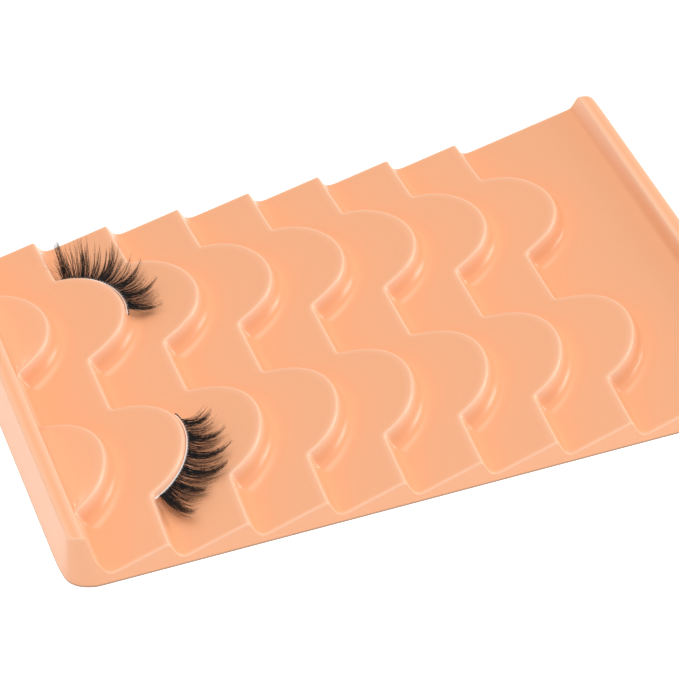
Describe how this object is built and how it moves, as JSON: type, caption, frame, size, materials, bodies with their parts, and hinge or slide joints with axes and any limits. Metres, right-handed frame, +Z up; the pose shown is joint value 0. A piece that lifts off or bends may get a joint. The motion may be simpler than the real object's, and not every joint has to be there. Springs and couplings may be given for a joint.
{
  "type": "false eyelash strips in a tray",
  "caption": "Pair of false eyelash strips, each a clear band, a root thread and clustered hair, resting on curved seats in a stepped, thermoformed tray.",
  "frame": {"origin": "centre of the tray's footprint, on the surface that it stands on", "axes": "+X along the row of steps, towards the side that the seats face; +Y from the front row of seats to the back row; +Z up"},
  "size_m": [0.1868, 0.1208, 0.0146],
  "materials": {
    "tray_sheet": "satin peach formed sheet",
    "clear_band": "clear flexible band",
    "lash_hair": "black synthetic hair with brown tips"
  },
  "bodies": {
    "root": {"tray": "tray_sheet", "lower_band": "clear_band", "upper_band": "clear_band", "lower_lashes": "lash_hair", "upper_lashes": "lash_hair"}
  },
  "joints": []
}
